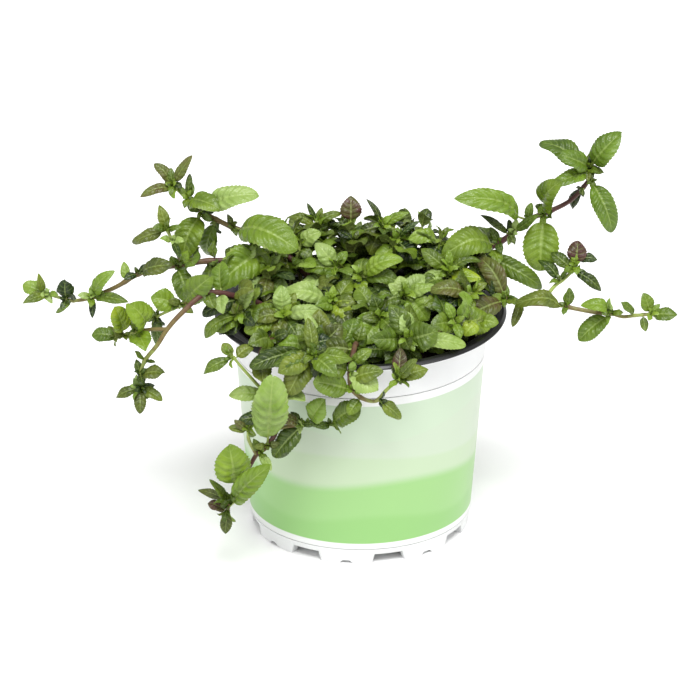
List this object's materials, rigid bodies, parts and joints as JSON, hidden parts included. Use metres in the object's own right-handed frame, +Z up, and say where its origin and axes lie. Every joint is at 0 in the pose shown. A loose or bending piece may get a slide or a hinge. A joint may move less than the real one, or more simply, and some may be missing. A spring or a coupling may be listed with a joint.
{
  "type": "potted mint plant",
  "caption": "Potted mint: a leafy bush and long stems that spread and hang over the flared lip of a thin two-colour nursery pot with a printed sleeve.",
  "frame": {"origin": "middle of the pot's underside, on the flat centre pad, level with the feet", "axes": "+Z up along the pot's axis, -Y to the front where one stem hangs over the lip, +X to the right along the plant's longest extent"},
  "size_m": [0.2682, 0.1364, 0.1641],
  "materials": {
    "pot_plastic": "thin satin plastic, white outside and black inside",
    "label_print": "smooth printed film in pale greens",
    "soil": "rough dark potting soil",
    "foliage": "matt leaves with a faint waxy sheen"
  },
  "bodies": {
    "root": {"pot": "pot_plastic", "label_sleeve": "label_print", "soil": "soil", "stem_upper_left": "foliage", "stem_left": "foliage", "stem_lower_left": "foliage", "stem_hanging": "foliage", "stem_front": "foliage", "stem_front_left": "foliage", "stem_upper_right": "foliage", "stem_right": "foliage", "shoot_01": "foliage", "shoot_02": "foliage", "shoot_03": "foliage", "shoot_04": "foliage", "shoot_05": "foliage", "shoot_06": "foliage", "shoot_07": "foliage", "shoot_08": "foliage", "shoot_09": "foliage", "shoot_10": "foliage", "shoot_11": "foliage", "shoot_12": "foliage", "shoot_13": "foliage", "shoot_14": "foliage", "shoot_15": "foliage", "shoot_16": "foliage", "shoot_17": "foliage", "shoot_18": "foliage", "shoot_19": "foliage", "shoot_20": "foliage", "shoot_21": "foliage", "shoot_22": "foliage", "shoot_23": "foliage", "shoot_24": "foliage", "shoot_25": "foliage", "shoot_26": "foliage", "shoot_27": "foliage"}
  },
  "joints": []
}
